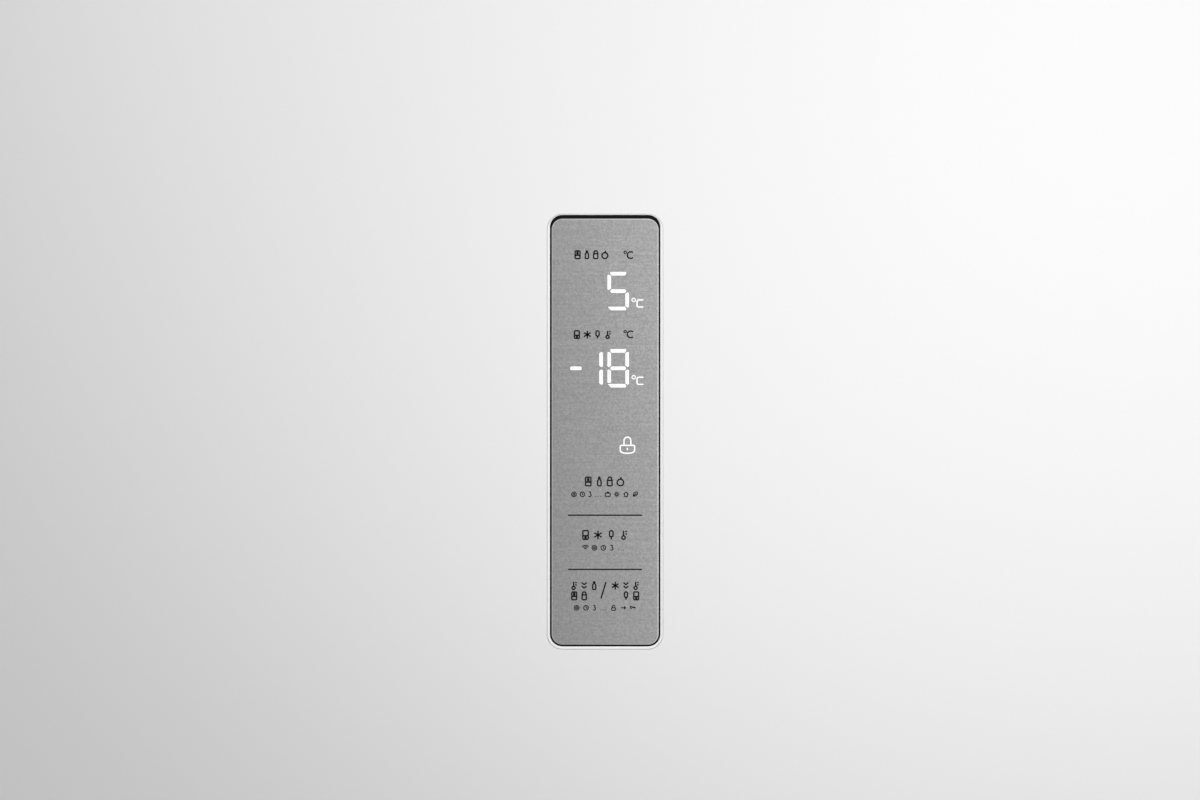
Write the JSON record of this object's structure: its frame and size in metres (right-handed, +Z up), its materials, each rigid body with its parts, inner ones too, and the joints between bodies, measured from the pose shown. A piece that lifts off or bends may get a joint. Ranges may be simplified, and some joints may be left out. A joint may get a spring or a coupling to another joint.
{
  "type": "refrigerator",
  "caption": "Upright two-door refrigerator with the freezer below: sliding drawers, glass shelves, door bins and a flush brushed touch panel in the upper door.",
  "frame": {"origin": "on the floor under the middle of the object's box", "axes": "+Z up, -Y out of the doors, +X towards the hinge side"},
  "size_m": [0.595, 0.65, 1.85],
  "materials": {
    "white_enamel": "satin",
    "white_moulding": "satin",
    "grip_moulding": "satin",
    "white_liner": "satin",
    "rigid_foam": "matte",
    "zinc_sheet": "satin",
    "zinc_hardware": "satin",
    "black_moulding": "matte",
    "clear_moulding": "gloss",
    "frosted_moulding": "satin",
    "shelf_glass": "polished",
    "lamp_lens": "satin",
    "brushed_panel": "satin",
    "circuit_board": "satin",
    "lit_guide": "satin",
    "seal_rubber": "matte",
    "black_rubber": "matte",
    "bare_aluminium": "satin",
    "black_enamel": "satin",
    "copper_tube": "satin"
  },
  "bodies": {
    "cabinet": {"cabinet_shell": "white_enamel", "front_rails": "white_enamel", "rear_panel": "zinc_sheet", "base_pan": "zinc_sheet", "cabinet_insulation": "rigid_foam", "fridge_liner": "white_liner", "freezer_liner": "white_liner", "wall_spacers": "black_moulding", "top_hinge": "zinc_hardware", "top_hinge_cover": "white_moulding", "middle_hinge": "zinc_hardware", "bottom_hinge": "zinc_hardware", "hinge_screws": "zinc_hardware", "kick_plate": "white_moulding", "glass_shelves": "shelf_glass", "shelf_trims": "white_moulding", "fridge_air_duct": "white_moulding", "ceiling_lamp": "lamp_lens", "freezer_shelves": "shelf_glass", "freezer_duct_cover": "white_moulding", "evaporator_fins": "bare_aluminium", "evaporator_tube": "bare_aluminium", "fan_motor": "black_moulding", "compressor_plate": "zinc_sheet", "compressor": "black_enamel", "compressor_grommets": "black_rubber", "terminal_box": "black_moulding", "drip_tray": "black_moulding", "refrigerant_pipes": "copper_tube", "condenser_tube": "black_enamel", "control_board_cover": "black_moulding", "cord_inlet": "black_moulding"},
    "fridge_door": {"fridge_door_skin": "white_enamel", "fridge_door_insulation": "rigid_foam", "fridge_door_liner": "white_liner", "fridge_door_gasket": "seal_rubber", "fridge_door_top_cap": "white_moulding", "fridge_door_grip": "grip_moulding", "door_bins": "clear_moulding", "panel_frame": "white_moulding", "panel_face": "brushed_panel", "light_guides": "lit_guide", "panel_board": "circuit_board"},
    "freezer_door": {"freezer_door_skin": "white_enamel", "freezer_door_insulation": "rigid_foam", "freezer_door_liner": "white_liner", "freezer_door_gasket": "seal_rubber", "freezer_door_grip": "grip_moulding", "freezer_door_bottom_cap": "white_moulding"},
    "dairy_lid": {"dairy_lid": "clear_moulding"},
    "crisper": {"crisper_drawer": "clear_moulding"},
    "humidity_slider": {"humidity_slider": "grip_moulding"},
    "drawer_top": {"freezer_drawer_top": "frosted_moulding"},
    "drawer_middle": {"freezer_drawer_middle": "frosted_moulding"},
    "drawer_bottom": {"freezer_drawer_bottom": "frosted_moulding"},
    "fan": {"evaporator_fan": "grip_moulding"},
    "rollers": {"rear_rollers": "black_moulding"},
    "foot_left": {"foot_left": "black_moulding"},
    "foot_right": {"foot_right": "black_moulding"}
  },
  "joints": [
    {"name": "fridge_door_hinge", "type": "hinge", "parent": "cabinet", "child": "fridge_door", "pos_m": [0.2875, -0.283, 1.26], "axis": [0, 0, 1], "range_deg": [0, 135]},
    {"name": "freezer_door_hinge", "type": "hinge", "parent": "cabinet", "child": "freezer_door", "pos_m": [0.2875, -0.283, 0.375], "axis": [0, 0, 1], "range_deg": [0, 135]},
    {"name": "dairy_lid_hinge", "type": "hinge", "parent": "fridge_door", "child": "dairy_lid", "pos_m": [0, -0.256, 1.6115], "axis": [1, 0, 0], "range_deg": [0, 75]},
    {"name": "crisper_slide", "type": "slide", "parent": "cabinet", "child": "crisper", "axis": [0, -1, 0], "range_m": [0, 0.25]},
    {"name": "humidity_slide", "type": "slide", "parent": "cabinet", "child": "humidity_slider", "axis": [1, 0, 0], "range_m": [-0.04, 0.04]},
    {"name": "drawer_top_slide", "type": "slide", "parent": "cabinet", "child": "drawer_top", "axis": [0, -1, 0], "range_m": [0, 0.24]},
    {"name": "drawer_middle_slide", "type": "slide", "parent": "cabinet", "child": "drawer_middle", "axis": [0, -1, 0], "range_m": [0, 0.24]},
    {"name": "drawer_bottom_slide", "type": "slide", "parent": "cabinet", "child": "drawer_bottom", "axis": [0, -1, 0], "range_m": [0, 0.18]},
    {"name": "fan_spin", "type": "hinge", "parent": "cabinet", "child": "fan", "pos_m": [0, 0.179, 0.5605], "axis": [0, 1, 0], "continuous": true},
    {"name": "roller_spin", "type": "hinge", "parent": "cabinet", "child": "rollers", "pos_m": [0, 0.25, 0.019], "axis": [1, 0, 0], "continuous": true},
    {"name": "foot_left_screw", "type": "hinge", "parent": "cabinet", "child": "foot_left", "pos_m": [-0.255, -0.215, 0], "axis": [0, 0, 1], "continuous": true},
    {"name": "foot_right_screw", "type": "hinge", "parent": "cabinet", "child": "foot_right", "pos_m": [0.255, -0.215, 0], "axis": [0, 0, 1], "continuous": true}
  ],
  "couplings": [
    {"joint": "crisper_slide", "follows": "fridge_door_hinge", "m_per_rad": 0.105},
    {"joint": "drawer_top_slide", "follows": "freezer_door_hinge", "m_per_rad": 0.1},
    {"joint": "drawer_middle_slide", "follows": "freezer_door_hinge", "m_per_rad": 0.1},
    {"joint": "drawer_bottom_slide", "follows": "freezer_door_hinge", "m_per_rad": 0.075}
  ]
}
